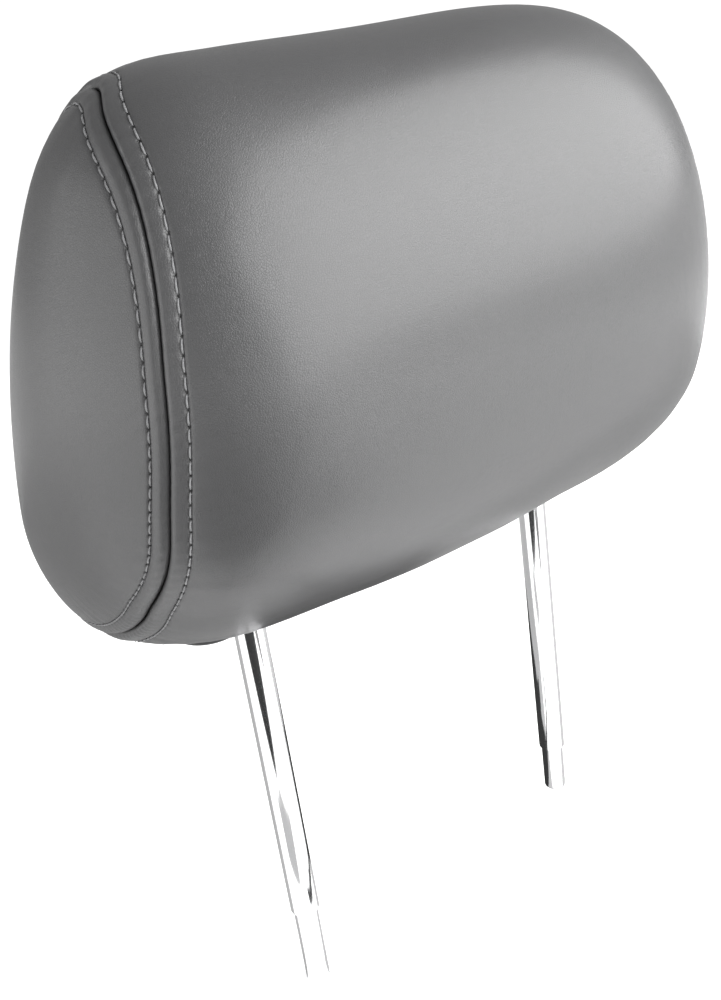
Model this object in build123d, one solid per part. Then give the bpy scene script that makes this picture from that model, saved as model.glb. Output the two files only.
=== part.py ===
from build123d import *
import os
from math import copysign, cos, pi, sin

os.makedirs("parts", exist_ok=True)

# Slip-in head restraint: a padded cushion on two chromed posts whose spacing adjusts.
# Millimetres. The origin is midway between the post axes, level with the mouths of the seat's
# sleeves when the restraint stands at mid height. +Z is up and -Y faces the head.

# Posts
POST_SPACING = 149.0
POST_D = 12.0
PILOT_D = 10.0
POST_SHOULDER_Z = -70.0
LEFT_PILOT_LENGTH = 37.5
RIGHT_PILOT_LENGTH = 23.5
TRAVEL_IN = 18.0
TRAVEL_OUT = 10.0

# Cushion: an egg-shaped side profile that shrinks towards two domed ends
CUSHION_WIDTH = 275.0
PROFILE_Y = 21.8
PROFILE_Z = 124.0
FRONT_REACH = 98.0
BACK_REACH = 27.5
TOP_REACH = 135.6
BOTTOM_REACH = 68.5
FRONT_POWER = 1.92
BACK_POWER = 1.72
FORWARD_LEAN = -0.272
END_POWER = 6.8
END_ROUNDING = 1.8
UNDERSIDE_Z = 72.0
COVER_T = 1.5
PROFILE_POINTS = 32
STATIONS = (0.0, 0.16, 0.32, 0.46, 0.59, 0.7, 0.79, 0.865, 0.92, 0.96, 0.985)

# Seam between the wrap and each side panel, as half widths of the wrap going up
SEAM_LOW = (118.5, 60.0)
SEAM_MIDDLE = (120.5, 140.0)
SEAM_HIGH = (111.5, 203.0)
SEAM_TOP = (96.0, 262.0)

# Mechanism under and inside the cushion
SOFT_GAP = 0.3
SLIDE_GAP = 0.3
TRIM_LENGTH = 206.0
TRIM_DEPTH = 26.0
TRIM_T = 3.0
TRIM_SCREW_X = (-97.5, -30.0, 30.0, 97.5)
TRIM_SCREW_HEAD_D = 5.6
SLOT_WIDTH = 13.0
BUSH_LENGTH = 16.0
BUSH_FLANGE_D = 19.0
BUSH_FLANGE_T = 2.0
CORE_LENGTH = 204.0
CORE_FRONT_Y = -16.0
CORE_BACK_Y = 18.0
CORE_SPLIT_Y = 0.0
CORE_FLOOR_Z = 78.0
CORE_TOP_Z = 185.0
CORE_WALL = 2.5
CORE_CORNER_R = 5.0
RAIL_LENGTH = 194.0
RAIL_DEPTH = 26.0
RAIL_HEIGHT = 22.0
RAIL_WALL = 2.0
CARRIAGE_LENGTH = 25.0
PAD_T = 3.0
NUT_ACROSS_FLATS = 16.0
NUT_T = 6.0
RAIL_BOLT_X = (-24.0, 24.0)
RAIL_BOLT_D = 6.0
CORE_SCREW_D = 4.0
CORE_SCREW_SPOTS = ((-88.0, 120.0), (88.0, 120.0), (-88.0, 174.0), (88.0, 174.0))
BOSS_D = 9.0

# Zip across the underside, behind the posts
ZIP_Y = 34.0
ZIP_LENGTH = 176.0
ZIP_OPENING = 7.0
TAPE_WIDTH = 8.2
TAPE_T = 0.4
TOOTH_PITCH = 2.0
TOOTH_SIZE = (1.1, 2.2, 1.6)
ZIP_HALF_GAP = 0.6
SLIDER_LENGTH = 9.0
SLIDER_WIDTH = 7.6
PULL_LENGTH = 18.0
PULL_WIDTH = 5.6

trim_low_z = UNDERSIDE_Z - TRIM_T
flange_top_z = trim_low_z - SLIDE_GAP
post_top_shoulder_z = flange_top_z - BUSH_FLANGE_T
rail_low_z = CORE_FLOOR_Z + CORE_WALL + 0.2
rail_inner_low_z = rail_low_z + RAIL_WALL
rail_inner_high_z = rail_low_z + RAIL_HEIGHT - RAIL_WALL
carriage_low_z = rail_inner_low_z + SLIDE_GAP
carriage_high_z = rail_inner_high_z - SLIDE_GAP - PAD_T
rail_top_z = rail_low_z + RAIL_HEIGHT
slot_inner_x = POST_SPACING / 2 - TRAVEL_IN - BUSH_LENGTH / 2 - SLIDE_GAP
slot_outer_x = POST_SPACING / 2 + TRAVEL_OUT + BUSH_LENGTH / 2 + SLIDE_GAP


def span_box(x0, x1, y0, y1, z0, z1):
    """Block between two opposite corners."""
    size = Box(x1 - x0, y1 - y0, z1 - z0)
    return Pos((x0 + x1) / 2, (y0 + y1) / 2, (z0 + z1) / 2) * size


def rod(diameter, x, y, z0, z1):
    """Upright round bar."""
    return Pos(x, y, (z0 + z1) / 2) * Cylinder(diameter / 2, z1 - z0)


def cross_rod(diameter, x, z, y0, y1):
    """Round bar running front to back."""
    return Pos(x, (y0 + y1) / 2, z) * Rot(90, 0, 0) * Cylinder(diameter / 2, y1 - y0)


def slot_block(x0, x1, y, width, z0, z1):
    """Upright block with half-round ends, as a slot or as what runs in it."""
    radius = width / 2
    middle = span_box(x0 + radius, x1 - radius, y - radius, y + radius, z0, z1)
    ends = rod(width, x0 + radius, y, z0, z1) + rod(width, x1 - radius, y, z0, z1)
    return middle + ends


def side_profile(x, scale, inset):
    """Closed side profile of the cushion at one station across its width."""
    points = []
    for step in range(PROFILE_POINTS):
        angle = 2 * pi * step / PROFILE_POINTS
        across, up = cos(angle), sin(angle)
        power = FRONT_POWER if across < 0 else BACK_POWER
        depth = (FRONT_REACH if across < 0 else BACK_REACH) * scale - inset
        height = (TOP_REACH if up > 0 else BOTTOM_REACH) * scale - inset
        y = copysign(depth * abs(across) ** (2 / power), across)
        z = copysign(height * abs(up) ** (2 / power), up)
        points.append(Vector(x, PROFILE_Y + y + FORWARD_LEAN * z, PROFILE_Z + z))
    return Wire([Edge.make_spline(points, periodic=True)])


def cushion_block(inset):
    """Solid cushion, drawn in by an inset all round."""
    half = CUSHION_WIDTH / 2 - inset
    stations = [-t for t in reversed(STATIONS[1:])] + list(STATIONS)
    wires = []
    for t in stations:
        scale = (1 - abs(t) ** END_POWER) ** (1 / END_ROUNDING)
        wires.append(side_profile(t * half, scale, inset))
    block = Solid.make_loft(wires)
    above = span_box(-200, 200, -200, 200, UNDERSIDE_Z + inset, 400)
    return block & above


def wrap_zone():
    """Everything between the two side seams, seen from the front."""
    right = [SEAM_LOW, SEAM_MIDDLE, SEAM_HIGH, SEAM_TOP]
    left = [(-x, z) for x, z in right]
    outline = Plane.XZ * make_face(
        Curve() + [Spline(*right), Line(right[-1], left[-1]), Spline(*reversed(left)), Line(left[0], right[0])]
    )
    return extrude(outline, 200, both=True)


def cover_panels():
    """Leather wrap and the two side panels sewn to it."""
    shell = cushion_block(0) - cushion_block(COVER_T)
    post_opening = span_box(-101, 101, -9, 9, 60, 75)
    half_zip = ZIP_LENGTH / 2 + 3
    half_opening = ZIP_OPENING / 2
    zip_opening = span_box(-half_zip, half_zip, ZIP_Y - half_opening, ZIP_Y + half_opening, 60, 75)
    zone = wrap_zone()
    wrap = (shell & zone) - post_opening - zip_opening
    sides = shell - zone
    left = sides & span_box(-200, 0, -200, 200, 0, 400)
    right = sides & span_box(0, 200, -200, 200, 0, 400)
    return wrap, left, right


def core_envelope(gap):
    """Rounded box that the two core shells fill, grown by a gap."""
    half = CORE_LENGTH / 2 + gap
    block = span_box(
        -half, half, CORE_FRONT_Y - gap, CORE_BACK_Y + gap, CORE_FLOOR_Z - gap, CORE_TOP_Z + gap
    )
    return fillet(block.edges().filter_by(Axis.Y), CORE_CORNER_R + gap)


def post_slots(width, z0, z1):
    """Pair of slots that the two posts travel in."""
    left = slot_block(-slot_outer_x, -slot_inner_x, 0, width, z0, z1)
    right = slot_block(slot_inner_x, slot_outer_x, 0, width, z0, z1)
    return left + right


def foam_bun():
    """Moulded foam around the core, open for the posts, the trim screws and the zip slider."""
    foam = cushion_block(COVER_T + SOFT_GAP) - core_envelope(SOFT_GAP)
    foam -= post_slots(SLOT_WIDTH + 6, 60, CORE_FLOOR_Z + 1)
    for x in TRIM_SCREW_X:
        foam -= rod(5, x, 0, 60, CORE_FLOOR_Z + 1)
    for x, z in CORE_SCREW_SPOTS:
        foam -= cross_rod(9, x, z, CORE_BACK_Y, CORE_BACK_Y + 3.4)
    half_zip = ZIP_LENGTH / 2 + 8
    foam -= span_box(-half_zip, half_zip, ZIP_Y - 11, ZIP_Y + 11, 60, UNDERSIDE_Z + 5)
    return foam


def core_shells():
    """Front and rear halves of the plastic core, screwed together from behind."""
    hollow = core_envelope(-CORE_WALL)
    box = core_envelope(0) - hollow - post_slots(SLOT_WIDTH, 70, rail_low_z)
    for x in TRIM_SCREW_X:
        box -= rod(3, x, 0, 70, rail_low_z)
    front_side = span_box(-150, 150, -50, CORE_SPLIT_Y, 50, 250)
    front = box & front_side
    rear = box - front_side
    for x, z in CORE_SCREW_SPOTS:
        front += cross_rod(BOSS_D, x, z, CORE_FRONT_Y + 1, CORE_SPLIT_Y)
        front -= cross_rod(CORE_SCREW_D, x, z, CORE_FRONT_Y + CORE_WALL, CORE_SPLIT_Y)
        rear += cross_rod(BOSS_D, x, z, CORE_SPLIT_Y, CORE_BACK_Y - 1)
        rear -= cross_rod(CORE_SCREW_D + 0.4, x, z, CORE_SPLIT_Y, CORE_BACK_Y)
    shelf_y = CORE_FRONT_Y + CORE_WALL + 0.2
    rear += span_box(-40, 40, shelf_y, CORE_BACK_Y - 1, rail_top_z, rail_top_z + 3)
    for x in RAIL_BOLT_X:
        rear -= rod(RAIL_BOLT_D, x, 0, rail_top_z - 1, rail_top_z + 4)
    return front, rear


def core_screws():
    """Pan-head screws that clamp the two core shells."""
    screws = []
    for x, z in CORE_SCREW_SPOTS:
        shank = cross_rod(CORE_SCREW_D, x, z, CORE_FRONT_Y + CORE_WALL + 2, CORE_BACK_Y)
        head = cross_rod(7, x, z, CORE_BACK_Y, CORE_BACK_Y + 2.4)
        screws.append(shank + head)
    return Compound(children=screws)


def cross_rail():
    """Folded steel channel with a slot along its underside for the carriages."""
    half = RAIL_LENGTH / 2
    depth = RAIL_DEPTH / 2
    rail = span_box(-half, half, -depth, depth, rail_low_z, rail_top_z)
    rail -= span_box(
        -half, half, RAIL_WALL - depth, depth - RAIL_WALL, rail_inner_low_z, rail_inner_high_z
    )
    rail -= span_box(-half, half, -SLOT_WIDTH / 2, SLOT_WIDTH / 2, rail_low_z, rail_inner_low_z)
    for x in RAIL_BOLT_X:
        rail -= rod(RAIL_BOLT_D, x, 0, rail_inner_high_z, rail_top_z)
    return rail


def hexagon(across_flats, x, y, z0, z1):
    """Upright hexagonal bar."""
    outline = RegularPolygon(across_flats / 2, 6, major_radius=False)
    return Pos(x, y, z0) * extrude(outline, z1 - z0)


def rail_bolts_and_nuts():
    """Bolts that hang the rail from the core's shelf, and their nuts."""
    bolts = []
    nuts = []
    nut_z = rail_top_z + 3
    for x in RAIL_BOLT_X:
        shank = rod(RAIL_BOLT_D, x, 0, rail_inner_high_z, nut_z + 6)
        bolts.append(shank + rod(12, x, 0, rail_inner_high_z - 3, rail_inner_high_z))
        nuts.append(hexagon(10, x, 0, nut_z, nut_z + 5) - rod(RAIL_BOLT_D, x, 0, nut_z, nut_z + 5))
    return Compound(children=bolts), Compound(children=nuts)


def base_trim():
    """Moulded strip on the underside that clamps the leather around the post slots."""
    half = TRIM_LENGTH / 2
    trim = slot_block(-half, half, 0, TRIM_DEPTH, trim_low_z, UNDERSIDE_Z)
    low_rim = trim.faces().sort_by(Axis.Z)[0].edges()
    trim = fillet(low_rim, 1.2)
    trim -= post_slots(SLOT_WIDTH, trim_low_z, UNDERSIDE_Z)
    for x in TRIM_SCREW_X:
        trim -= rod(3, x, 0, trim_low_z, UNDERSIDE_Z)
    return trim


def trim_screws():
    """Self-tapping screws through the trim into the core's floor."""
    screws = []
    for x in TRIM_SCREW_X:
        shank = rod(3, x, 0, trim_low_z, CORE_FLOOR_Z + CORE_WALL)
        head = rod(TRIM_SCREW_HEAD_D, x, 0, trim_low_z - 1.4, trim_low_z)
        screws.append(shank + fillet(head.edges().sort_by(Axis.Z)[0], 0.9))
    return Compound(children=screws)


def zip_half(side):
    """Woven tape and tooth row on one side of the zip; side is -1 in front and 1 behind."""
    edge = ZIP_Y + side * ZIP_HALF_GAP
    half = ZIP_LENGTH / 2 + 2
    tape_z = UNDERSIDE_Z + COVER_T + 0.1
    near, far = sorted((edge, edge + side * TAPE_WIDTH))
    tape = span_box(-half, half, near, far, tape_z, tape_z + TAPE_T)
    teeth = []
    length, depth, height = TOOTH_SIZE
    near, far = sorted((edge, edge + side * depth))
    stagger = TOOTH_PITCH / 4 * side
    count = int(ZIP_LENGTH / TOOTH_PITCH)
    for step in range(count):
        x = (step - (count - 1) / 2) * TOOTH_PITCH + stagger
        teeth.append(span_box(x - length / 2, x + length / 2, near, far, tape_z - height, tape_z))
    return tape, Compound(children=teeth)


def zip_stops():
    """Small metal clips that close the zip's two ends."""
    clips = []
    tape_z = UNDERSIDE_Z + COVER_T + 0.1
    for side in (-1, 1):
        x = side * (ZIP_LENGTH / 2 + 1.4)
        clips.append(span_box(x - 0.9, x + 0.9, ZIP_Y - 2.6, ZIP_Y + 2.6, tape_z - 1.8, tape_z - 0.02))
    return Compound(children=clips)


def zip_slider():
    """Slider body: two plates around the tooth rows, joined by a thin wedge, with a pull loop."""
    tape_z = UNDERSIDE_Z + COVER_T + 0.1
    x = ZIP_LENGTH / 2 - SLIDER_LENGTH / 2
    half_l = SLIDER_LENGTH / 2
    half_w = SLIDER_WIDTH / 2
    low = tape_z - TOOTH_SIZE[2] - SLIDE_GAP
    high = tape_z + TAPE_T + SLIDE_GAP
    body = span_box(x - half_l, x + half_l, ZIP_Y - half_w, ZIP_Y + half_w, low - 1.0, low)
    body += span_box(x - half_l, x + half_l, ZIP_Y - half_w, ZIP_Y + half_w, high, high + 0.8)
    body += span_box(x - half_l, x + half_l, ZIP_Y - 0.3, ZIP_Y + 0.3, low, high)
    loop = span_box(x - 1.9, x + 1.9, ZIP_Y - 0.9, ZIP_Y + 0.9, low - 3.4, low - 1.0)
    loop -= Pos(x, ZIP_Y, low - 2.0) * Rot(90, 0, 0) * Cylinder(0.9, 4)
    return body + loop


def zip_pull():
    """Pull tab hanging from the slider's loop on its own cross bar."""
    x = ZIP_LENGTH / 2 - SLIDER_LENGTH / 2
    bar_z = UNDERSIDE_Z + COVER_T + 0.1 - TOOTH_SIZE[2] - SLIDE_GAP - 2.0
    half_w = PULL_WIDTH / 2
    low = bar_z - PULL_LENGTH
    tab = span_box(x - 0.6, x + 0.6, ZIP_Y - half_w, ZIP_Y + half_w, low, bar_z + 0.6)
    tab = fillet(tab.edges().filter_by(Axis.X).group_by(Axis.Z)[0], 2.2)
    tab -= span_box(x - 1, x + 1, ZIP_Y - 1.3, ZIP_Y + 1.3, bar_z - 3.6, bar_z + 1)
    bar = Pos(x, ZIP_Y, bar_z) * Rot(90, 0, 0) * Cylinder(0.6, PULL_WIDTH)
    return tab + bar


def post(x, pilot_length):
    """Chromed post: a slim pilot end, the full diameter, and a threaded shank into the carriage."""
    tip_z = POST_SHOULDER_Z - pilot_length
    pilot = fillet(rod(PILOT_D, x, 0, tip_z, POST_SHOULDER_Z).edges().sort_by(Axis.Z)[0], 1.6)
    shaft = rod(POST_D, x, 0, POST_SHOULDER_Z, post_top_shoulder_z)
    shaft = chamfer(shaft.edges().group_by(Axis.Z)[0], 0.8)
    shank = rod(PILOT_D, x, 0, post_top_shoulder_z, carriage_high_z + 1)
    return pilot + shaft + shank


def guide_bush(x):
    """Flanged bush that centres the post in the slots and spaces it from the carriage."""
    half = BUSH_LENGTH / 2
    width = SLOT_WIDTH - 2 * SLIDE_GAP
    bush = slot_block(x - half, x + half, 0, width, flange_top_z, carriage_low_z)
    flange = rod(BUSH_FLANGE_D, x, 0, post_top_shoulder_z, flange_top_z)
    bush += fillet(flange.edges().sort_by(Axis.Z)[0], 1.0)
    return bush - rod(PILOT_D, x, 0, post_top_shoulder_z, carriage_low_z)


def carriage(x):
    """Steel block that slides in the rail and carries the post."""
    half_l = CARRIAGE_LENGTH / 2
    half_d = RAIL_DEPTH / 2 - RAIL_WALL - SLIDE_GAP
    block = span_box(x - half_l, x + half_l, -half_d, half_d, carriage_low_z, carriage_high_z)
    block -= rod(PILOT_D, x, 0, carriage_low_z, carriage_high_z)
    return block - rod(NUT_ACROSS_FLATS + 3, x, 0, carriage_high_z - NUT_T, carriage_high_z)


def post_nut(x):
    """Nut that pulls the post, bush and carriage together."""
    low = carriage_high_z - NUT_T
    return hexagon(NUT_ACROSS_FLATS, x, 0, low, carriage_high_z) - rod(PILOT_D, x, 0, low, carriage_high_z)


def glide_pad(x):
    """Nylon pad on the carriage that rubs on the rail's roof and holds the post's place."""
    half_l = CARRIAGE_LENGTH / 2 - 0.5
    half_d = RAIL_DEPTH / 2 - RAIL_WALL - 0.6
    pad = span_box(x - half_l, x + half_l, -half_d, half_d, carriage_high_z, carriage_high_z + PAD_T)
    return pad - rod(NUT_ACROSS_FLATS + 3, x, 0, carriage_high_z, carriage_high_z + PAD_T)


def save(**shapes):
    """Write each sub-part under its own name."""
    for name, shape in shapes.items():
        export_step(shape, f"parts/{name}.step")


cover_wrap, cover_side_left, cover_side_right = cover_panels()
core_front, core_rear = core_shells()
rail_bolts, rail_nuts = rail_bolts_and_nuts()
zip_tape_front, zip_teeth_front = zip_half(-1)
zip_tape_rear, zip_teeth_rear = zip_half(1)

save(cover_wrap=cover_wrap, cover_side_left=cover_side_left, cover_side_right=cover_side_right)
save(foam_bun=foam_bun(), core_front=core_front, core_rear=core_rear, core_screws=core_screws())
save(cross_rail=cross_rail(), rail_bolts=rail_bolts, rail_nuts=rail_nuts)
save(base_trim=base_trim(), trim_screws=trim_screws())
save(zip_tape_front=zip_tape_front, zip_tape_rear=zip_tape_rear)
save(zip_teeth_front=zip_teeth_front, zip_teeth_rear=zip_teeth_rear)
save(zip_stops=zip_stops(), zip_slider=zip_slider(), zip_pull=zip_pull())

for side, place, pilot_length in (("left", -1, LEFT_PILOT_LENGTH), ("right", 1, RIGHT_PILOT_LENGTH)):
    x = place * POST_SPACING / 2
    save(**{f"{side}_post": post(x, pilot_length), f"{side}_guide_bush": guide_bush(x)})
    save(**{f"{side}_carriage": carriage(x), f"{side}_post_nut": post_nut(x)})
    save(**{f"{side}_glide_pad": glide_pad(x)})
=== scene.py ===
from math import cos, pi, radians, sin

import bmesh
import bpy
import numpy as np
from mathutils import Matrix, Quaternion, Vector
from mathutils.kdtree import KDTree


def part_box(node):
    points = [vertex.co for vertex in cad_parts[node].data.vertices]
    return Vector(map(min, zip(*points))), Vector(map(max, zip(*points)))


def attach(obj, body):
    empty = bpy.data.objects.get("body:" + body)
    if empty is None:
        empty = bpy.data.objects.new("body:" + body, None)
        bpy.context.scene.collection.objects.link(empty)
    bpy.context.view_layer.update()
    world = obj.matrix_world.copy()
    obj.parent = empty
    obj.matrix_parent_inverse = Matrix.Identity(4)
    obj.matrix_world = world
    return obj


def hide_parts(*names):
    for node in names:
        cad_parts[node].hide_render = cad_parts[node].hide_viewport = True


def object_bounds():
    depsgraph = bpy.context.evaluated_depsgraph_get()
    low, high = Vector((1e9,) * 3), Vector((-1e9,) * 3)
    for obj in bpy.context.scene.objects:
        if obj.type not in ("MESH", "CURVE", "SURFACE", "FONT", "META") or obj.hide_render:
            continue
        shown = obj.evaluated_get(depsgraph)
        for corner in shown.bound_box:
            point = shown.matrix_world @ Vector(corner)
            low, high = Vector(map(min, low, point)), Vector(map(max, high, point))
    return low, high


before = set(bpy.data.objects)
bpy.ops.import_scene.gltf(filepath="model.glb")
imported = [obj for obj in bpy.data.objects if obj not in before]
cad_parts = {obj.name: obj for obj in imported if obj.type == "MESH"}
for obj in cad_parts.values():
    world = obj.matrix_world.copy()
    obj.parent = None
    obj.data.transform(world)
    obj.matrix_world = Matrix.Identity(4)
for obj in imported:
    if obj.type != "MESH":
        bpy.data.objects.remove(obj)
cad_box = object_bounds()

MM = 0.001

# ---------------------------------------------------------------------------------------------
# The stuffed form. A foam bun fills a sewn cover, so the outside is one smooth egg-shaped body
# with two domed ends. Everything that is sewn to it later takes its place from this surface.
half_width = 137.5 * MM
profile_y = 21.8 * MM
profile_z = 124.0 * MM
front_reach = 98.0 * MM
back_reach = 27.5 * MM
top_reach = 135.6 * MM
bottom_reach = 68.5 * MM
front_power = 1.92
back_power = 1.72
forward_lean = -0.272
end_power = 6.8
end_rounding = 1.8
underside_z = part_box("base_trim")[1][2]
soft_corner = 5.0 * MM
soft_corner_share = 0.02

# Hand stuffing: how much fuller or flatter the body is in a few places, and where each begins
# and ends, out from the middle, up from the seat or back from the face.
corner_fill = 2.3 * MM
corner_starts = (60 * MM, 100 * MM)
corner_ends = (116 * MM, 132 * MM)
corner_height = (195 * MM, 240 * MM)
chin_fill = 1.8 * MM
chin_foot = (70 * MM, 78 * MM)
chin_top = (95 * MM, 130 * MM)
chin_front = (20 * MM, -20 * MM)
chin_fill_ends = (15 * MM, 60 * MM)
chin_draw_starts = (40 * MM, 80 * MM)
chin_draw_ends = (115 * MM, 132 * MM)
top_fill = 1.8 * MM
top_fill_x = 45.0 * MM
top_fill_reach = 42.0 * MM
top_fill_height = (185 * MM, 245 * MM)

# Grid and seam. Lines run round the body, eight to a stitch; stations run out to the ends. The
# seam's heights and its distances from the middle are in mm.
stitch_lines = 8
stitch_count = 98
lines = stitch_lines * stitch_count
stations = 220
seam_heights = (60.0, 101.0, 140.0, 180.0, 219.0, 238.0, 246.0, 253.0, 262.0)
seam_half_widths = (119.0, 122.8, 120.6, 116.4, 110.0, 107.2, 104.6, 98.6, 90.5)
seam_blur_passes = 110


def even_ring(ring, count):
    """The same closed outline with its points spread evenly along it."""
    closed = np.vstack([ring, ring[:1]])
    along = np.concatenate([[0], np.cumsum(np.linalg.norm(np.diff(closed, axis=0), axis=1))])
    places = np.linspace(0, along[-1], count, endpoint=False)
    return np.stack([np.interp(places, along, closed[:, k]) for k in (0, 1)], 1), along[-1]


def side_profile(scale):
    """Side profile of the stuffed body at one station, front to back and up, with soft corners."""
    angle = np.linspace(-pi / 2, 3 * pi / 2, lines * 2, endpoint=False)
    across, up = np.cos(angle), np.sin(angle)
    power = np.where(across < 0, front_power, back_power)
    depth = scale * np.where(across < 0, front_reach, back_reach)
    height = scale * np.where(up > 0, top_reach, bottom_reach)
    y = depth * np.sign(across) * np.abs(across) ** (2 / power)
    z = height * np.sign(up) * np.abs(up) ** (2 / power)
    ring = np.stack([profile_y + y + forward_lean * z, np.maximum(profile_z + z, underside_z)], 1)
    ring, length = even_ring(ring, lines)
    blur = min(soft_corner, soft_corner_share * length)
    waves = np.fft.fftfreq(lines, length / lines)
    spectrum = np.fft.fft(ring[:, 0] + 1j * ring[:, 1]) * np.exp(-2 * (pi * blur * waves) ** 2)
    soft = np.fft.ifft(spectrum)
    return np.stack([soft.real, soft.imag], 1)


def half_form():
    """Right half of the body as a grid: stations from the middle to the end, lines around."""
    grid = np.zeros((stations, lines, 3))
    for i, step in enumerate(np.linspace(0, 1, stations)):
        t = sin(step * pi / 2)
        scale = max(1 - t**end_power, 1e-9) ** (1 / end_rounding)
        grid[i, :, 0] = t * half_width
        grid[i, :, 1:] = side_profile(scale)
    return grid


def seam_half_width(z):
    """How far the side seam lies from the middle at a height."""
    return np.interp(z / MM, seam_heights, seam_half_widths) * MM


def around_blur(values, passes):
    """Evens out values that run round the body."""
    for _ in range(passes):
        values = (np.roll(values, 1, -1) + 2 * values + np.roll(values, -1, -1)) / 4
    return values


def form_normals(grid):
    """Outward directions of a grid of stations and lines."""
    along = np.gradient(grid, axis=0)
    around = np.roll(grid, -1, axis=1) - np.roll(grid, 1, axis=1)
    normal = np.cross(around, along)
    return normal / np.maximum(np.linalg.norm(normal, axis=2, keepdims=True), 1e-12)


def smooth_step(low, high, value):
    """0 below low, 1 above high, easing in between."""
    t = np.clip((value - low) / (high - low), 0, 1)
    return t * t * (3 - 2 * t)


form = half_form()
out = form[:, :, 0]
ends = smooth_step(*corner_starts, out) * (1 - smooth_step(*corner_ends, out))
upper = smooth_step(*corner_height, form[:, :, 2])
chin = (1 - smooth_step(*chin_top, form[:, :, 2])) * smooth_step(*chin_foot, form[:, :, 2])
chin = chin * smooth_step(*chin_front, form[:, :, 1])
middle_chin = 1 - smooth_step(*chin_fill_ends, out)
end_chin = smooth_step(*chin_draw_starts, out) * (1 - smooth_step(*chin_draw_ends, out))
form = form + form_normals(form) * (chin * (middle_chin - end_chin) * chin_fill)[:, :, None]
form[:, :, 2] += corner_fill * ends * upper
right_ease = form_normals(form) * (chin * end_chin * chin_fill)[:, :, None]
right_ease[:, :, 2] -= corner_fill * ends * upper
steps = np.linalg.norm(np.diff(form, axis=0), axis=2)
arc = np.concatenate([np.zeros((1, lines)), np.cumsum(steps, axis=0)])
beyond = form[:, :, 0] - seam_half_width(form[:, :, 2])
first = np.argmax(beyond > 0, axis=0)
pick = np.arange(lines)
share = -beyond[first - 1, pick] / (beyond[first, pick] - beyond[first - 1, pick])
seam_arc = arc[first - 1, pick] + share * (arc[first, pick] - arc[first - 1, pick])
seam_arc = around_blur(seam_arc, seam_blur_passes)


def mesh_piece(name, points, faces):
    """A new smooth-shaded piece from plain points and faces."""
    mesh = bpy.data.meshes.new(name)
    mesh.from_pydata([tuple(p) for p in points], [], faces)
    mesh.update()
    mesh.shade_smooth()
    piece = bpy.data.objects.new(name, mesh)
    bpy.context.scene.collection.objects.link(piece)
    return piece


# ---------------------------------------------------------------------------------------------
# Stuffing pressure. The leather is pulled over foam a little too large for it, so each panel
# crowns between its seams. A coarse skin is blown up against pins along the seams and the base,
# and the way it moves is added to the form.
cloth_grid = 5
cloth_lines = 8
coarse_rows = np.arange(0, stations, cloth_grid)
coarse_ring = lines // cloth_lines
voxel = 5.0 * MM
start_inset = 0.3 * MM
foam_limit = -0.2 * MM
swell_cap = 2.2 * MM
pin_reach = 22.0 * MM
base_pin = 4.0 * MM
stuffing_pressure = 20.0
hide_stiffness = 6.0
hide_bending = 0.4
settle_moments = 20
near_points = 6
swell_blur_passes = 4


def whole_skin(points):
    """A closed coarse skin from a grid of rows that run round the body, end to end."""
    count, ring = points.shape[:2]
    faces = []
    for i in range(count - 1):
        for j in range(ring):
            k = (j + 1) % ring
            faces.append((i * ring + j, i * ring + k, (i + 1) * ring + k, (i + 1) * ring + j))
    faces.append(tuple(range(ring - 1, -1, -1)))
    faces.append(tuple((count - 1) * ring + j for j in range(ring)))
    skin = mesh_piece("stuffing_trial", points.reshape(-1, 3), faces)
    remesh = skin.modifiers.new("even", "REMESH")
    remesh.mode = "VOXEL"
    remesh.voxel_size = voxel
    graph = bpy.context.evaluated_depsgraph_get()
    even = bpy.data.meshes.new_from_object(skin.evaluated_get(graph))
    skin.modifiers.clear()
    skin.data = even
    return skin


def point_tree(points):
    """A search tree over points."""
    tree = KDTree(len(points))
    for n, point in enumerate(points):
        tree.insert(point, n)
    tree.balance()
    return tree


def blow_up(skin):
    """How far every point of the pinned skin moves once the stuffing presses on it, capped."""
    rest = np.array([v.co[:] for v in skin.data.vertices])
    cloth = skin.modifiers.new("stuffing", "CLOTH")
    cloth.settings.vertex_group_mass = "sewn"
    cloth.settings.use_pressure = True
    cloth.settings.uniform_pressure_force = stuffing_pressure
    cloth.settings.tension_stiffness = hide_stiffness
    cloth.settings.compression_stiffness = hide_stiffness
    cloth.settings.bending_stiffness = hide_bending
    cloth.settings.effector_weights.gravity = 0.0
    cloth.point_cache.frame_start = 1
    cloth.point_cache.frame_end = settle_moments
    for moment in range(1, settle_moments + 1):
        bpy.context.scene.frame_set(moment)
        graph = bpy.context.evaluated_depsgraph_get()
        blown = skin.evaluated_get(graph).to_mesh()
    moved = np.array([v.co[:] for v in blown.vertices]) - rest
    bpy.context.scene.frame_set(1)
    length = np.linalg.norm(moved, axis=1, keepdims=True)
    moved *= swell_cap * np.tanh(length / swell_cap) / np.maximum(length, 1e-9)
    return rest, moved


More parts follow.
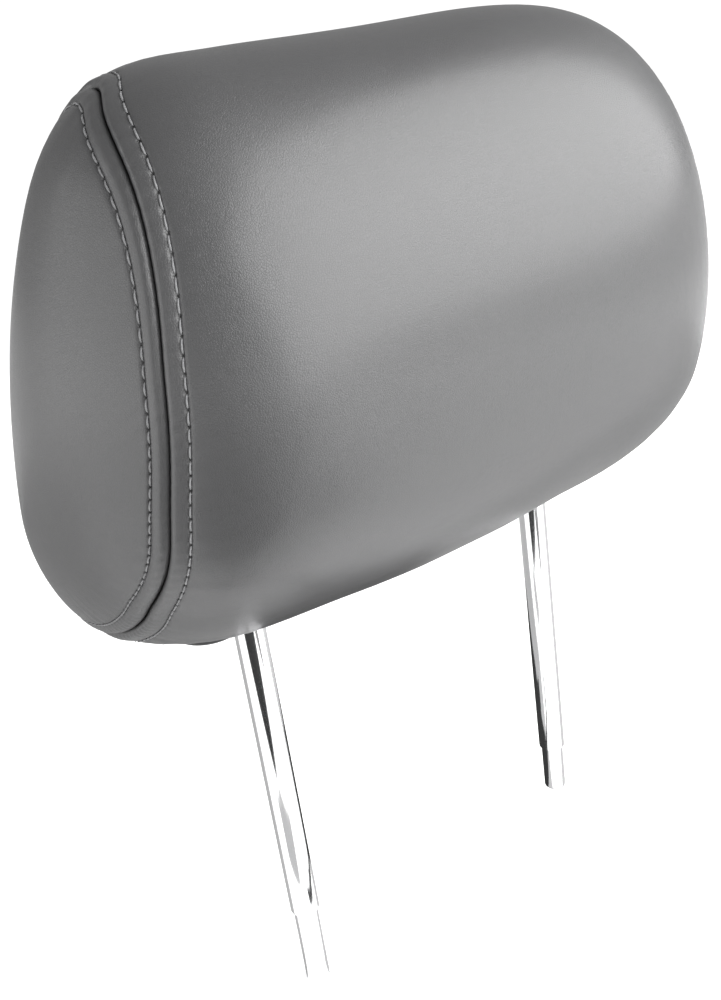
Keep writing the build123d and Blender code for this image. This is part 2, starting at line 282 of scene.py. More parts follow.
def simulate_swell():
    """Outward movement of the skin on a coarse grid for both halves, right then left."""
    coarse = form[coarse_rows][:, ::cloth_lines]
    normal = form_normals(form)[coarse_rows][:, ::cloth_lines]
    from_seam = np.abs(arc - seam_arc)[coarse_rows][:, ::cloth_lines]
    pin = np.clip(1 - from_seam / pin_reach, 0, 1) ** 2
    pin = np.maximum(pin, coarse[:, :, 2] < underside_z + base_pin)
    small = coarse - normal * start_inset * (1 - pin)[:, :, None]
    both = np.concatenate([small[::-1] * (-1, 1, 1), small[1:]])
    pins = np.concatenate([pin[::-1], pin[1:]]).reshape(-1)
    skin = whole_skin(both)
    tree = point_tree(both.reshape(-1, 3))
    group = skin.vertex_groups.new(name="sewn")
    for v in skin.data.vertices:
        group.add([v.index], float(pins[tree.find(v.co)[1]]), "REPLACE")
    rest, moved = blow_up(skin)

    skin_tree = point_tree(rest)
    swell = []
    for side in (1, -1):
        field = np.zeros(coarse.shape[:2])
        for i in range(coarse.shape[0]):
            for j in range(coarse_ring):
                near = skin_tree.find_n(Vector(small[i, j]) * Vector((side, 1, 1)), near_points)
                weights = np.array([1 / (distance + MM) for _, _, distance in near])
                shift = (moved[[n for _, n, _ in near]] * weights[:, None]).sum(0) / weights.sum()
                field[i, j] = shift @ (normal[i, j] * (side, 1, 1))
        field = np.maximum(field, foam_limit)
        for _ in range(swell_blur_passes):
            padded = np.vstack([field[1:2], field, field[-1:]])
            field = (padded[:-2] + 2 * field + padded[2:]) / 4
            field = around_blur(field, 1)
        swell.append(field)
    bpy.data.objects.remove(skin)
    return swell


def fine_swell(field):
    """The swell of one half spread from the coarse grid to every station and line."""
    lines_at = np.arange(coarse_ring + 1) * cloth_lines
    around = np.stack([np.interp(pick, lines_at, np.append(row, row[0])) for row in field])
    columns = [np.interp(np.arange(stations), coarse_rows, around[:, j]) for j in range(lines)]
    return np.stack(columns, 1)


def hand_stuffed(side, swell):
    """One half of the stuffed body: fuller right of the middle, flatter at the right's top corner."""
    half = form + form_normals(form) * swell[:, :, None]
    if side > 0:
        half = half + right_ease
    heap = np.exp(-(((side * out - top_fill_x) / top_fill_reach) ** 2))
    half[:, :, 2] += top_fill * heap * smooth_step(*top_fill_height, form[:, :, 2])
    return half


swell_fields = simulate_swell()
crowned = [hand_stuffed(side, fine_swell(field)) for side, field in zip((1, -1), swell_fields)]


def rows_at_distance(side, targets):
    """Rows of points whose distance along the body from its middle is given for every line."""
    grid = crowned[0 if side > 0 else 1]
    rows = np.zeros((len(targets), lines, 3))
    for j in range(lines):
        for k in range(3):
            rows[:, j, k] = np.interp(targets[:, j], arc[:, j], grid[:, j, k])
    return rows * (side, 1, 1)


# ---------------------------------------------------------------------------------------------
# Sewn seams. Wrap and side panel are sewn face to face and folded back, so their edges drop into
# a narrow groove between two soft welts. A row of top stitching runs 7 mm from the fold on each
# side and pulls the leather down into a shallow channel with a dimple at every needle hole.

# Sizes across a seam, in mm from the fold.
row_offset = 7.0
wrap_fold = 2.4
side_fold = 4.4
groove_depth = 2.9
welt_height = 0.75
welt_slope = (2.2, 7.2)
welt_ripple = 0.06
channel_depth = 0.35
channel_width = 0.9
hole_depth = 0.85
hole_radius = 0.5
line_pitch = 0.5
gather_rise = (6.5, 9.0)
gather_fade = 7.0
welt_gather = 0.35
welt_gather_rise = (1.0, 2.5)
welt_gather_fall = (4.5, 6.5)
welt_rows = (0, 0.1, 0.25, 0.45, 0.75, 1.1, 1.6, 2.1, 2.7, 3.4, 4.2, 5.0, 5.7)
channel_rows = (6.2, 6.6, 7.0, 7.4, 7.8, 8.3, 9.0, 10.0, 11.5, 13.5)

stitch_row = row_offset * MM
near_rows = MM * np.array(welt_rows + channel_rows)
gather_amount = 0.045
gather_wave = 42
gather_spread = 30.0
seed_bank = np.random.default_rng(41)


def pucker(amount):
    """Random drawn-in places along a seam, a few stitches long."""
    noise = np.fft.rfft(seed_bank.standard_normal(lines))
    waves = np.arange(len(noise))
    noise *= np.exp(-(((waves - gather_wave) / gather_spread) ** 2))
    noise = np.fft.irfft(noise, lines)
    return amount * noise / noise.std()


def needle_holes(d):
    """1 in the middle of every needle hole, fading to 0 around it; d is in mm."""
    line = pick % stitch_lines
    apart = np.minimum(line, stitch_lines - line) * line_pitch
    return np.exp(-((apart / hole_radius) ** 2 + ((d - row_offset) / hole_radius) ** 2))


def seam_height(distance, fold, holes=True, gathers=None):
    """How high the leather stands over the form at a distance from the seam, line by line."""
    d = distance / MM
    roll = 1 - np.minimum(d, fold) / fold
    groove = -groove_depth * (1 - np.sqrt(1 - roll**2))
    welt = welt_height * (1 - smooth_step(*welt_slope, d))
    channel = -channel_depth * np.exp(-(((d - row_offset) / channel_width) ** 2))
    line = pick % stitch_lines
    swing = np.cos(2 * pi * line / stitch_lines)
    height = welt * (1 - welt_ripple * swing) + groove + channel
    if holes:
        height = height - hole_depth * needle_holes(d)
    if gathers is not None:
        fade = np.exp(-np.maximum(d - gather_rise[1], 0) / gather_fade)
        height = height + gathers * smooth_step(*gather_rise, d) * fade
        on_welt = smooth_step(*welt_gather_rise, d) * (1 - smooth_step(*welt_gather_fall, d))
        height = height + welt_gather * gathers * on_welt
    return height * MM


def grid_normals(rows):
    """Outward directions of a grid that may run either way across the body."""
    middle = np.array([0.0, profile_y, profile_z])
    normal = form_normals(rows)
    flip = np.sign(((rows - middle) * normal).sum(axis=2).mean())
    return normal * flip


def closed_strip_faces(count):
    """Faces between neighbouring rows that run right round the body."""
    faces = []
    for i in range(count - 1):
        for j in range(lines):
            k = (j + 1) % lines
            faces.append((i * lines + j, i * lines + k, (i + 1) * lines + k, (i + 1) * lines + j))
    return faces


def leather_rows(side, inward, far_rows, gathers):
    """Rows of one panel from a seam, the sewn edge first, and each row's distance to the seam."""
    reach = seam_arc if inward else arc[-1] - seam_arc
    near = np.repeat(near_rows[:, None], lines, 1)
    shares = (np.arange(1, far_rows + 1) / far_rows)[:, None]
    far = near_rows[-1] + shares * (reach - near_rows[-1])
    distance = np.vstack([near, far])
    targets = seam_arc - distance if inward else seam_arc + distance
    rows = rows_at_distance(side, targets)
    fold = wrap_fold if inward else side_fold
    heights = np.stack([seam_height(d, fold, gathers=gathers) for d in distance])
    smooth = grid_normals(rows)
    return rows + smooth * heights[:, :, None], distance


def keep_outside_up(piece):
    """Turns the faces of a piece outward."""
    mesh = piece.data
    middle = Vector((0, profile_y, profile_z))
    if sum((face.center - middle).dot(face.normal) for face in mesh.polygons) < 0:
        mesh.flip_normals()


def mark_seam(piece, distance):
    """Keeps each point's distance to the seam in mm, and where the needle holes are, for the finish's
    painted shade in the groove and holes.
    """
    holes = np.stack([needle_holes(d / MM) for d in distance]).reshape(-1)
    for name, values in (("from_seam", distance.reshape(-1) / MM), ("needle_hole", holes)):
        mark = piece.data.attributes.new(name, "FLOAT", "POINT")
        full = np.zeros(len(piece.data.vertices), dtype=np.float32)
        full[: len(values)] = values
        mark.data.foreach_set("value", full)


# ---------------------------------------------------------------------------------------------
# Leather cover. Automotive hide 1.5 mm thick, cut as one long wrap and two domed side panels. The
# wrap has two clean openings underneath, one under the trim strip and one for the zip.
leather_t = 1.5 * MM
wrap_far_rows = 17
side_far_rows = 26
opening_depth = 3 * MM
opening_margin_x = 9 * MM
opening_margin_y = 3 * MM
trim_opening = (101 * MM, 9 * MM)
zip_opening = (91 * MM, 3.5 * MM)
gathers = {(side, inward): pucker(gather_amount) for side in (-1, 1) for inward in (True, False)}


def make_wrap():
    """The long panel that runs over the front, top and back, with its two openings underneath."""
    left, left_distance = leather_rows(-1, True, wrap_far_rows, gathers[-1, True])
    right, right_distance = leather_rows(1, True, wrap_far_rows, gathers[1, True])
    rows = np.concatenate([left, right[::-1][1:]])
    distance = np.concatenate([left_distance, right_distance[::-1][1:]])
    wrap = mesh_piece("leather_wrap", rows.reshape(-1, 3), closed_strip_faces(len(rows)))
    mark_seam(wrap, distance)
    keep_outside_up(wrap)
    return wrap


def make_side(side, name):
    """One end panel, from its seam to the middle of the dome."""
    rows, distance = leather_rows(side, False, side_far_rows, gathers[side, False])
    rows, distance = rows[:-1], distance[:-1]
    tip = len(rows) * lines
    faces = closed_strip_faces(len(rows))
    last = (len(rows) - 1) * lines
    faces += [(last + j, last + (j + 1) % lines, tip) for j in range(lines)]
    points = np.vstack([rows.reshape(-1, 3), rows[-1].mean(axis=0)])
    panel = mesh_piece(name, points, faces)
    mark_seam(panel, distance)
    keep_outside_up(panel)
    return panel


def underside_faces(work, middle_y, half_x, half_y):
    """Faces of the underside whose centres lie inside a rectangle."""
    found = []
    for face in work.faces:
        centre = face.calc_center_median()
        inside = abs(centre.x) < half_x and abs(centre.y - middle_y) < half_y
        if inside and centre.z < underside_z + opening_depth:
            found.append(face)
    return found


def cut_opening(piece, middle_y, half_x, half_y):
    """Cuts a clean-edged rectangle out of the underside."""
    work = bmesh.new()
    work.from_mesh(piece.data)
    sides = [((x, 0, 0), (1, 0, 0)) for x in (-half_x, half_x)]
    sides += [((0, middle_y + y, 0), (0, 1, 0)) for y in (-half_y, half_y)]
    for place, direction in sides:
        near = underside_faces(work, middle_y, half_x + opening_margin_x, half_y + opening_margin_y)
        edges = {e for f in near for e in f.edges}
        corners = {v for f in near for v in f.verts}
        cut = [*near, *edges, *corners]
        bmesh.ops.bisect_plane(work, geom=cut, plane_co=place, plane_no=direction, dist=1e-6)
    gone = underside_faces(work, middle_y, half_x, half_y)
    bmesh.ops.delete(work, geom=gone, context="FACES")
    work.to_mesh(piece.data)
    work.free()


class Signal:
    """A value or colour on its way through a finish; sums on it add Math nodes."""

    def __init__(self, finish, socket):
        self.finish = finish
        self.socket = socket

    def sum(self, operation, *values):
        return self.finish.add("ShaderNodeMath", {"operation": operation}, dict(enumerate(values)))

    def __add__(self, other):
        return self.sum("ADD", self, other)

    def __sub__(self, other):
        return self.sum("SUBTRACT", self, other)

    def __rsub__(self, other):
        return self.sum("SUBTRACT", other, self)

    def __mul__(self, other):
        return self.sum("MULTIPLY", self, other)

    def at_least(self, other):
        return self.sum("MAXIMUM", self, other)

    __radd__ = __add__
    __rmul__ = __mul__


class Finish:
    """One procedural material, built up node by node."""

    def __init__(self, name):
        self.material = bpy.data.materials.new(name)
        self.material.use_nodes = True
        self.tree = self.material.node_tree
        self.shader = self.tree.nodes["Principled BSDF"]
        self.place = self.add("ShaderNodeTexCoord", {}, {}, "Object")

    def add(self, kind, settings, inputs, output=0):
        """A node of one kind: its settings first, then the values or links of its sockets."""
        node = self.tree.nodes.new(kind)
        for key, value in settings.items():
            if key == "stops":
                ramp = node.color_ramp
                while len(ramp.elements) < len(value):
                    ramp.elements.new(1.0)
                for element, (place, shade) in zip(ramp.elements, value):
                    element.position = place
                    element.color = (shade, shade, shade, 1)
            else:
                setattr(node, key, value)
        for key, value in inputs.items():
            self.feed(node.inputs[key], value)
        return Signal(self, node.outputs[output])

    def feed(self, socket, value):
        """Links a signal to a socket, or sets its value."""
        if isinstance(value, Signal):
            self.tree.links.new(value.socket, socket)
        else:
            socket.default_value = value

    def noise(self, scale, detail=2.0, rough=0.5, place=None):
        """Soft cloudy noise."""
        sockets = {"Vector": place or self.place, "Scale": scale, "Detail": detail, "Roughness": rough}
        return self.add("ShaderNodeTexNoise", {}, sockets, "Fac")

    def cells(self, scale, feature="DISTANCE_TO_EDGE"):
        """Rounded cells, as in grain or foam."""
        sockets = {"Vector": self.place, "Scale": scale}
        return self.add("ShaderNodeTexVoronoi", {"feature": feature}, sockets, "Distance")

    def ramp(self, value, *stops):
        """Turns a value into a shade of grey by its stops."""
        return self.add("ShaderNodeValToRGB", {"stops": stops}, {"Fac": value})

    def blend(self, amount, first, second):
        """Mixes two colours, which are a Mix node's sockets 6 and 7 and come out of its output 2."""
        return self.add("ShaderNodeMix", {"data_type": "RGBA"}, {0: amount, 6: first, 7: second}, 2)

    def bump(self, height, distance, strength=1.0, under=None):
        """Relief of a height, over another bump if there is one under it."""
        sockets = {"Height": height, "Distance": distance, "Strength": strength}
        if under is not None:
            sockets["Normal"] = under
        return self.add("ShaderNodeBump", {}, sockets)

    def set(self, **sockets):
        """Feeds the shader's own sockets."""
        for key, value in sockets.items():
            self.feed(self.shader.inputs[key.replace("_", " ")], value)

    def wear_on(self, piece):
        """Puts this finish on a piece in place of any other."""
        piece.data.materials.clear()
        piece.data.materials.append(self.material)


def leather_finish():
    """Grey automotive leather: fine pebble grain, faint cloudiness, a satin top coat, and painted shade
    darkening the seam groove and needle holes.
    """
    deep_grey = (0.040, 0.040, 0.041, 1)
    pale_grey = (0.056, 0.056, 0.0572, 1)
    valley_grey = (0.028, 0.028, 0.0285, 1)
    # Painted shade colour, almost black, for the seam groove and the needle holes.
    painted_seam_shade = (0.004, 0.004, 0.004, 1)
    leather = Finish("grey leather")
    seam = leather.add("ShaderNodeAttribute", {"attribute_name": "from_seam"}, {}, "Fac")
    fine = leather.cells(1500)
    pebble = leather.ramp(fine, (0.0, 0.0), (0.12, 0.8), (0.4, 1.0))
    pores = leather.noise(2100, 3.0, 0.6)
    cloud = leather.noise(16, 5.0, 0.6)
    crease = leather.noise(120, 5.0, 0.62)
    valley = 1 - pebble
    holes = leather.add("ShaderNodeAttribute", {"attribute_name": "needle_hole"}, {}, "Fac")
    # Painted shade: the base colour goes almost black at the bottom of the seam groove, within 0.55 mm of
    # the fold.
    painted_groove_shade = leather.ramp(seam * 0.1, (0.0, 1.0), (0.055, 0.0))
    hide = leather.blend(cloud, deep_grey, pale_grey)
    grained = leather.blend(valley * 0.4, hide, valley_grey)
    # Painted shade: the groove and every needle hole are darkened almost to black.
    shade = leather.blend((painted_groove_shade * 0.9).at_least(holes * 0.97), grained, painted_seam_shade)
    grain = leather.bump(pebble + pores * 0.5, 0.00005, 0.75)
    skin = leather.bump(crease, 0.0004, 0.22, grain)
    leather.set(Base_Color=shade, Roughness=0.26 + cloud * 0.10 + valley * 0.06, Normal=skin)
    leather.set(IOR=1.52, Coat_Weight=0.15, Coat_Roughness=0.25)
    return leather


leather = leather_finish()
wrap = make_wrap()
cut_opening(wrap, 0, *trim_opening)
zip_y = (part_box("zip_tape_front")[0][1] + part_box("zip_tape_rear")[1][1]) / 2
cut_opening(wrap, zip_y, *zip_opening)
side_left = make_side(-1, "leather_side_left")
side_right = make_side(1, "leather_side_right")
panels = ((wrap, "cover_wrap"), (side_left, "cover_side_left"), (side_right, "cover_side_right"))
for panel, node in panels:
    thick = panel.modifiers.new("hide", "SOLIDIFY")
    thick.thickness = leather_t
    thick.offset = -1
    leather.wear_on(panel)
    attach(panel, "cushion")
    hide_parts(node)


# ---------------------------------------------------------------------------------------------
# Top stitching. Thick bonded thread, two plies twisted together, in stitches that lie in the
# channel and dive into the needle holes at both ends.
thread_r = 0.29 * MM
thread_sides = 8
thread_points = 9
thread_span = (0.09, 0.91)

# The arch of a stitch, as shares of its length and heights in mm, and the twist of its plies.
arch_start = 0.06
arch_length = 0.88
arch_height = 0.95
arch_roundness = 0.45
arch_sink = 0.62
ply_depth = 0.14
ply_twist = 1.1
tip_taper = 0.72
beside_row = 0.3 * MM


def stitch_path(surface, normal, start):
    """Middle line of one stitch between two needle holes."""
    path = []
    for step in np.linspace(*thread_span, thread_points):
        at = start + step * stitch_lines
        low = int(at) % lines
        high = (low + 1) % lines
        part = at - int(at)
        point = surface[low] * (1 - part) + surface[high] * part
        arch = sin(pi * (step - arch_start) / arch_length) ** arch_roundness
        path.append(point + normal[low] * (arch_height * arch - arch_sink) * MM)
    return np.array(path)


def stitch_tube(path, normal):
    """Rounded two-ply thread along a path."""
    along = np.gradient(path, axis=0)
    along /= np.linalg.norm(along, axis=1, keepdims=True)
    across = np.cross(along, normal)
    across /= np.linalg.norm(across, axis=1, keepdims=True)
    up = np.cross(across, along)
    rings = []
    for n, point in enumerate(path):
        taper = tip_taper if n in (0, len(path) - 1) else 1.0
        turn = 2 * pi * np.arange(thread_sides) / thread_sides
        ply = 1 + ply_depth * np.cos(2 * turn + n * ply_twist)
        ring = np.cos(turn)[:, None] * across[n] + np.sin(turn)[:, None] * up[n]
        rings.append(point + ring * (thread_r * taper * ply)[:, None])
    return np.vstack(rings)


def stitch_faces(base):
    """Skin of one stitch whose first point is base, closed at both ends."""
    faces = []
    for ring in range(thread_points - 1):
        here = base + ring * thread_sides
        there = here + thread_sides
        for k in range(thread_sides):
            m = (k + 1) % thread_sides
            faces.append((here + k, here + m, there + m, there + k))
    tail = base + (thread_points - 1) * thread_sides
    faces.append(tuple(base + k for k in range(thread_sides - 1, -1, -1)))
    faces.append(tuple(tail + k for k in range(thread_sides)))
    return faces


def stitch_piece(side, name):
    """Both rows of stitches along one side seam."""
    tubes, faces = [], []
    for inward in (True, False):
        offset = np.full((3, lines), stitch_row) + np.array([-1, 0, 1])[:, None] * beside_row
        rows = rows_at_distance(side, seam_arc - offset if inward else seam_arc + offset)
        normal = grid_normals(rows)[1]
        on_row = np.full(lines, stitch_row)
        height = seam_height(on_row, wrap_fold, holes=False, gathers=gathers[side, inward])
        surface = rows[1] + normal * height[:, None]
        for stitch in range(stitch_count):
            start = stitch * stitch_lines
            path = stitch_path(surface, normal, start)
            faces += stitch_faces(len(tubes) * thread_points * thread_sides)
            tubes.append(stitch_tube(path, normal[start + stitch_lines // 2]))
    return mesh_piece(name, np.vstack(tubes), faces)


def thread_finish():
    """Grey bonded polyester thread with a soft shine and fine filaments."""
    dyed_grey = (0.12, 0.12, 0.123, 1)
    lit_grey = (0.20, 0.20, 0.204, 1)
    thread = Finish("grey sewing thread")
    strands = thread.noise(5200, 2.0, 0.5)
    wander = thread.noise(180, 2.0, 0.5)
    shade = thread.blend(wander, dyed_grey, lit_grey)
    filaments = thread.bump(strands, 0.00006, 0.8)
    thread.set(Base_Color=shade, Roughness=0.42 + strands * 0.2, Normal=filaments)
    return thread


thread = thread_finish()
for side, name in ((-1, "stitching_left"), (1, "stitching_right")):
    stitches = stitch_piece(side, name)
    thread.wear_on(stitches)
    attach(stitches, "cushion")


# ---------------------------------------------------------------------------------------------
# Foam bun. Moulded open-cell foam fills the cover and grips the plastic core; only its edges can
# be glimpsed through the openings, so it keeps the moulded shape drawn in a little all round.
def foam_finish():
    """Cream moulded foam with open cells and a slightly denser skin."""
    aged_cream = (0.60, 0.56, 0.43, 1)
    fresh_cream = (0.72, 0.68, 0.55, 1)
    cell_shade = (0.32, 0.29, 0.2, 1)
    foam = Finish("moulded foam")
    pores = foam.cells(420, "F1")
    tone = foam.noise(30, 3.0, 0.5)
    shade = foam.blend(tone, aged_cream, fresh_cream)
    pitted = foam.blend(foam.ramp(pores, (0.1, 1.0), (0.45, 0.0)) * 0.6, shade, cell_shade)
    foam.set(Base_Color=pitted, Roughness=0.9, Normal=foam.bump(pores, 0.0006, 0.7))
    return foam


foam_draw = 2.2 * MM
foam_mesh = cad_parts["foam_bun"].data.copy()
foam_bun = bpy.data.objects.new("foam_filling", foam_mesh)
bpy.context.scene.collection.objects.link(foam_bun)
drawn_in = foam_bun.modifiers.new("drawn in", "DISPLACE")
drawn_in.mid_level = 0.0
drawn_in.strength = -foam_draw
foam_finish().wear_on(foam_bun)
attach(foam_bun, "cushion")
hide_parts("foam_bun")


# ---------------------------------------------------------------------------------------------
# Posts. Ground steel bar, turned down at the foot, polished and chrome plated. They are the
# brightest things on the object; years of sliding in the seat leave hair-fine upright marks.
def stretched(finish, x, y, z):
    """Place coordinates stretched along an axis, for brushed and drawn marks."""
    return finish.add("ShaderNodeMapping", {}, {"Vector": finish.place, "Scale": (x, y, z)})


def chrome_finish():
    """Bright chrome plate with a faint haze and upright sliding marks."""
    chrome = Finish("polished chrome")
    marks = chrome.noise(900, 3.0, 0.6, stretched(chrome, 1, 1, 0.04))
    haze = chrome.noise(60, 3.0, 0.5)
    tone = chrome.blend(haze, (0.80, 0.80, 0.81, 1), (0.86, 0.86, 0.87, 1))
    chrome.set(Base_Color=tone, Metallic=1.0, Roughness=0.05 + haze * 0.05 + marks * 0.04)
    chrome.set(Normal=chrome.bump(marks, 0.000004, 0.4))
    return chrome


def dress(node, finish, round_edge=None):
    """Gives a carried-over part its finish, and softens its edges where they are sharp."""
    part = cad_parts[node]
    finish.wear_on(part)
    if round_edge:
        edge = part.modifiers.new("soft edges", "BEVEL")
        edge.width = round_edge
        edge.segments = 2
        edge.limit_method = "ANGLE"


chrome = chrome_finish()
for node in ("left_post", "right_post"):
    dress(node, chrome)


# ---------------------------------------------------------------------------------------------
# Mouldings. The trim strip clamps the leather round the slots and the flanged bushes ride in them,
# both black; the core's two shells are dark grey and the glide pads natural nylon. All are
# injection moulded, with a fine spark-eroded texture.
scuffed_gain = 1.35
scuffed_lift = 0.004


def moulded_finish(name, shade, rough, scale):
    """Injection moulded plastic with spark-eroded texture and pale scuffs."""
    moulded = Finish(name)
    spark = moulded.noise(scale, 4.0, 0.65)
    scuff = moulded.noise(45, 4.0, 0.6)
    light = tuple(min(1.0, c * scuffed_gain + scuffed_lift) for c in shade)
    tone = moulded.blend(scuff, (*shade, 1), (*light, 1))
    moulded.set(Base_Color=tone, Roughness=rough + scuff * 0.12, Normal=moulded.bump(spark, 0.00005, 0.6))
    return moulded


trim_plastic = moulded_finish("black trim plastic", (0.018, 0.018, 0.019), 0.48, 2400)
bush_plastic = moulded_finish("black acetal", (0.022, 0.022, 0.023), 0.30, 900)
core_plastic = moulded_finish("core plastic", (0.045, 0.045, 0.048), 0.45, 1500)
pad_plastic = moulded_finish("natural nylon", (0.62, 0.59, 0.50), 0.42, 1200)
dress("base_trim", trim_plastic)
dress("core_front", core_plastic)
dress("core_rear", core_plastic)
for hand in ("left", "right"):
    dress(f"{hand}_guide_bush", bush_plastic)
    dress(f"{hand}_glide_pad", pad_plastic, 0.3 * MM)


# ---------------------------------------------------------------------------------------------
# Rail and fasteners. The rail and carriages are folded and milled steel under a black dip coat;
# bolts, nuts and screws are zinc plated, the trim screws black.
bloom_shade = 0.72


def metal_finish(name, shade, rough, grain_scale, metallic=1.0):
    """Plated or coated metal with a drawn grain and dull patches."""
    metal = Finish(name)
    grain = metal.noise(grain_scale, 3.0, 0.6, stretched(metal, 0.15, 1, 1))
    bloom = metal.noise(80, 4.0, 0.6)
    dull = tuple(c * bloom_shade for c in shade)
    metal.set(Base_Color=metal.blend(bloom, (*shade, 1), (*dull, 1)), Metallic=metallic)
    metal.set(Roughness=rough + grain * 0.15, Normal=metal.bump(grain, 0.00002, 0.5))
    return metal


rail_steel = metal_finish("black dipped steel", (0.03, 0.03, 0.032), 0.38, 700, 0.0)
zinc = metal_finish("zinc plate", (0.60, 0.61, 0.63), 0.28, 900)
black_zinc = metal_finish("black zinc", (0.06, 0.06, 0.065), 0.32, 900)
gunmetal = metal_finish("gunmetal plate", (0.30, 0.30, 0.32), 0.24, 1200)
dress("cross_rail", rail_steel, 0.4 * MM)
for node in ("core_screws", "rail_bolts", "rail_nuts"):
    dress(node, zinc, 0.25 * MM)
dress("trim_screws", black_zinc)
for hand in ("left", "right"):
    dress(f"{hand}_carriage", rail_steel, 0.4 * MM)
    dress(f"{hand}_post_nut", zinc, 0.3 * MM)


# ---------------------------------------------------------------------------------------------
# Zip. Two woven tapes are sewn behind the leather and carry nylon coils that mesh in the middle;
# a plated slider with a swinging pull runs along them.
weave_scale = 520.0


def tape_finish():
    """Plain weave of black polyester."""
    tape = Finish("woven zip tape")
    threads = {"Vector": tape.place, "Scale": weave_scale}
    warp = tape.add("ShaderNodeTexWave", {"bands_direction": "X"}, threads, "Fac")
    weft = tape.add("ShaderNodeTexWave", {"bands_direction": "Y"}, threads, "Fac")
    weave = warp * weft
    shade = tape.blend(weave, (0.02, 0.02, 0.021, 1), (0.05, 0.05, 0.053, 1))
    tape.set(Base_Color=shade, Roughness=0.8, Normal=tape.bump(weave, 0.00015, 0.8))
    return tape


teeth = 88
tooth_rings = 7
tooth_sides = 8
tooth_half_width = 0.52 * MM
tooth_end_room = 0.55 * MM
tooth_waist = 0.62
tooth_tip = 0.45
tooth_tail = 0.85


def tooth_points(x, head_y, tail_y, middle_z, half_z):
    """Rings of one loop of the coil, a fat bead at its head and a slimmer one at its tail."""
    points = []
    for ring in range(tooth_rings):
        along = ring / (tooth_rings - 1)
        y = head_y + (tail_y - head_y) * along
        inner = 0 < ring < tooth_rings - 1
        fat = tooth_waist + (1 - tooth_waist) * cos(pi * along) ** 2 if inner else tooth_tip
        wide = tooth_half_width * fat * (1.0 if along < 0.5 else tooth_tail)
        for corner in range(tooth_sides):
            turn = 2 * pi * corner / tooth_sides
            points.append((x + wide * cos(turn), y, middle_z + half_z * fat * sin(turn)))
    return points


def tooth_faces(base):
    """Skin of one loop whose first point is base, closed at both ends."""
    faces = []
    for ring in range(tooth_rings - 1):
        here = base + ring * tooth_sides
        there = here + tooth_sides
        for c in range(tooth_sides):
            d = (c + 1) % tooth_sides
            faces.append((here + c, here + d, there + d, there + c))
    tail = base + (tooth_rings - 1) * tooth_sides
    faces.append(tuple(base + c for c in range(tooth_sides)))
    faces.append(tuple(tail + c for c in range(tooth_sides)))
    return faces


def coil_piece(node, name, side):
    """Nylon coil on one tape: a bead-headed loop for every tooth."""
    low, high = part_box(node)
    pitch = (high[0] - low[0] - 2 * tooth_end_room) / (teeth - 1)
    head_y, tail_y = (low[1], high[1]) if side > 0 else (high[1], low[1])
    middle_z = (low[2] + high[2]) / 2
    half_z = (high[2] - low[2]) / 2
    points, faces = [], []
    for tooth in range(teeth):
        x = low[0] + tooth_end_room + tooth * pitch
        faces += tooth_faces(len(points))
        points += tooth_points(x, head_y, tail_y, middle_z, half_z)
    return mesh_piece(name, points, faces)


tape_weave = tape_finish()
coil_nylon = moulded_finish("black zip nylon", (0.03, 0.03, 0.032), 0.25, 800)
for node in ("zip_tape_front", "zip_tape_rear"):
    dress(node, tape_weave)
for hand, side in (("front", -1), ("rear", 1)):
    node = f"zip_teeth_{hand}"
    coil = coil_piece(node, f"zip_coil_{hand}", side)
    coil_nylon.wear_on(coil)
    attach(coil, "cushion")
    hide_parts(node)
for node in ("zip_stops", "zip_slider", "zip_pull"):
    dress(node, gunmetal, 0.2 * MM)


# ---------------------------------------------------------------------------------------------
# Studio floor and air. A wide pale sheet lies just under the posts' tips and glows a little, more
# so far away, which keeps the line where it meets the white air behind faint.
floor_z = cad_box[0][2] - 0.5 * MM
floor_half = 30.0
floor_shade = 0.93
glow_reach = 2.0
floor_glow = 0.68
near_glow = 0.55
air_strength = 1.08
room_strength = 0.45


def plain_finish(name, shade):
    """Matt painted card, evenly shaded but for a faint mottle."""
    plain = Finish(name)
    speck = plain.noise(30, 2.0, 0.5)
    darker = shade * 0.99
    tone = plain.blend(speck, (shade, shade, shade, 1), (darker, darker, darker, 1))
    plain.set(Base_Color=tone, Roughness=0.9)
    return plain


floor_corners = [(-1, -1), (1, -1), (1, 1), (-1, 1)]
floor_points = [(x * floor_half, y * floor_half, 0) for x, y in floor_corners]
floor = mesh_piece("floor", floor_points, [(0, 1, 2, 3)])
floor.location.z = floor_z
pale = plain_finish("pale floor", floor_shade)
from_middle = stretched(pale, 1 / glow_reach, 1 / glow_reach, 1 / glow_reach)
nearby = pale.add("ShaderNodeTexGradient", {"gradient_type": "SPHERICAL"}, {"Vector": from_middle}, "Fac")
glow = pale.ramp(nearby, (0.0, 1.0), (0.6, near_glow))
pale.set(Emission_Color=glow, Emission_Strength=floor_glow)
pale.wear_on(floor)

world = bpy.data.worlds.new("studio air")
world.use_nodes = True
air = world.node_tree
backdrop = air.nodes["Background"]
backdrop.inputs["Color"].default_value = (1, 1, 1, 1)
backdrop.inputs["Strength"].default_value = air_strength
room = air.nodes.new("ShaderNodeBackground")
room.inputs["Color"].default_value = (1, 1, 1, 1)
room.inputs["Strength"].default_value = room_strength
rays = air.nodes.new("ShaderNodeLightPath")
choice = air.nodes.new("ShaderNodeMixShader")
air.links.new(rays.outputs["Is Camera Ray"], choice.inputs["Fac"])
air.links.new(room.outputs[0], choice.inputs[1])
air.links.new(backdrop.outputs[0], choice.inputs[2])
air.links.new(choice.outputs[0], air.nodes["World Output"].inputs["Surface"])
bpy.context.scene.world = world
bpy.context.scene.view_settings.view_transform = "Standard"


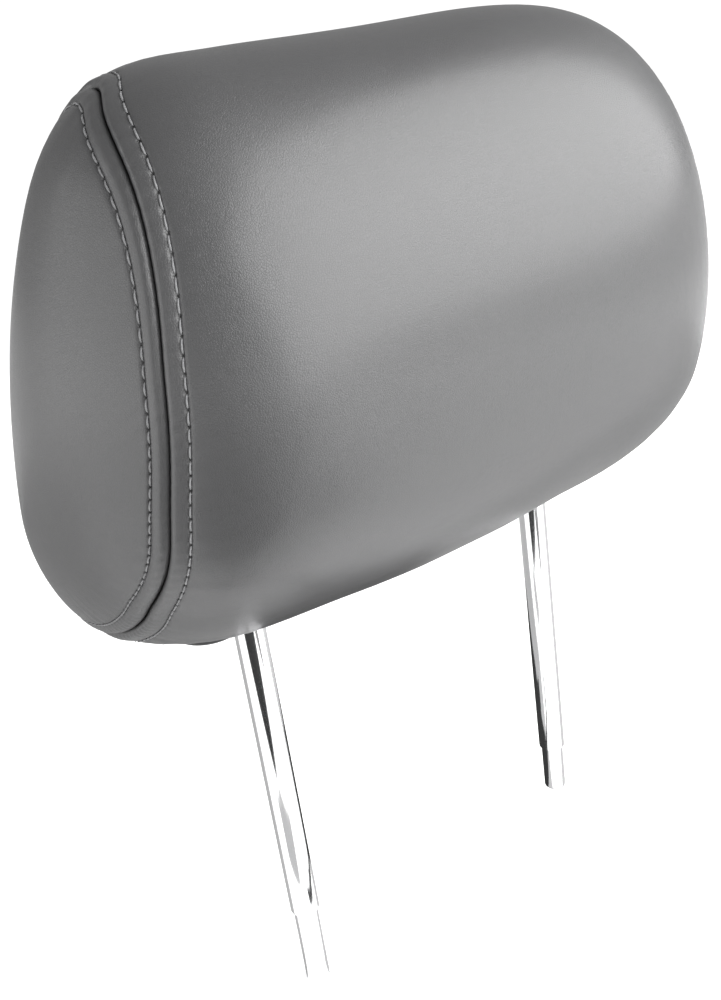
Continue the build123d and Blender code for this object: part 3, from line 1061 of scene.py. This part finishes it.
# ---------------------------------------------------------------------------------------------
# Studio lights. A large soft panel stands high to the right of the front, a small one on the left,
# and a weak one behind lifts the top and back without showing in their gloss.
def softbox(name, place, size, power, tilt=0.0, shiny=True):
    """A soft light panel aimed at the cushion; shiny says whether it shows in reflections."""
    lamp = bpy.data.lights.new(name, "AREA")
    lamp.shape = "RECTANGLE"
    lamp.size, lamp.size_y = size
    lamp.energy = power
    light = bpy.data.objects.new(name, lamp)
    aim = Vector((0, 0, profile_z)) - Vector(place)
    light.location = place
    light.rotation_euler = (aim.to_track_quat("-Z", "Y") @ Quaternion((0, 0, 1), tilt)).to_euler()
    light.visible_glossy = shiny
    bpy.context.scene.collection.objects.link(light)


softbox("key softbox", (0.46, -0.76, 0.56), (1.75, 1.1), 34, radians(18))
softbox("left fill", (-0.95, 0.25, 0.32), (1.2, 0.8), 5.0)
softbox("rear softbox", (0.35, 1.05, 0.60), (1.4, 0.9), 6, shiny=False)


# ---------------------------------------------------------------------------------------------
# Dark cards. They lie on the floor round the posts and draw the upright lines in the chrome; only
# reflections see them. Corners are in mm from the middle of the body.
cards = []
card_lift = 0.2 * MM


def dark_card(name, shade, corners):
    """A card flat on the floor, each a little higher than the one before."""
    cards.append(name)
    height = floor_z + card_lift * len(cards)
    outline = [(x * MM, y * MM, height) for x, y in corners]
    card = mesh_piece(name, outline, [tuple(range(len(corners)))])
    card.visible_camera = False
    card.visible_diffuse = False
    card.visible_shadow = False
    plain_finish(name, shade).wear_on(card)


far_corners = [(-700, 520), (-97, 14), (-62, -8), (62, -8), (700, -320), (900, 900), (-700, 900)]
front_corners = [(-185, -108), (-700, -75), (-900, -900), (142, -900)]
near_corners = [(-208, -45), (-160, -27), (-107, -62), (-95, -125), (-182, -106)]
middle_corners = [(32, -245), (-60, -335), (-75, -385), (100, -410), (85, -355)]
right_corners = [(2, 5), (118, 20), (150, 180), (60, 260), (-20, 110)]
rear_corners = [(-45, 58), (9, 115), (88, 130), (83, 95), (22, 82), (-12, 42)]
between_corners = [(-60, -64), (-12, -41), (22, 8), (14, 13), (-17, -30), (-60, -52)]
dark_card("far card", 0.42, far_corners)
dark_card("front flag", 0.004, front_corners)
dark_card("near card", 0.38, near_corners)
dark_card("middle card", 0.12, middle_corners)
dark_card("right card", 0.01, right_corners)
dark_card("rear flag", 0.01, rear_corners)
dark_card("middle flag", 0.01, between_corners)


# ---------------------------------------------------------------------------------------------
# Camera. It stands to the left of the front, above the cushion, looking down, and is rolled a
# little, so the posts lean.
view_azimuth = radians(35.01)
view_drop = radians(21.85)
view_roll = radians(8.47)
camera_place = Vector((-241.1, -320.6, 249.6)) * MM
camera_lens = 39.26
camera_near = 0.02
camera_data = bpy.data.cameras.new("camera")
camera_data.lens = camera_lens
camera_data.clip_start = camera_near
camera = bpy.data.objects.new("camera", camera_data)
along_floor = cos(view_drop)
forward = Vector((sin(view_azimuth) * along_floor, cos(view_azimuth) * along_floor, -sin(view_drop)))
level = Vector((cos(view_azimuth), -sin(view_azimuth), 0))
down = forward.cross(level)
right = level * cos(view_roll) + down * sin(view_roll)
up = level * sin(view_roll) - down * cos(view_roll)
facing = Matrix((right, up, -forward)).transposed().to_4x4()
camera.matrix_world = Matrix.Translation(camera_place) @ facing
bpy.context.scene.collection.objects.link(camera)
bpy.context.scene.camera = camera
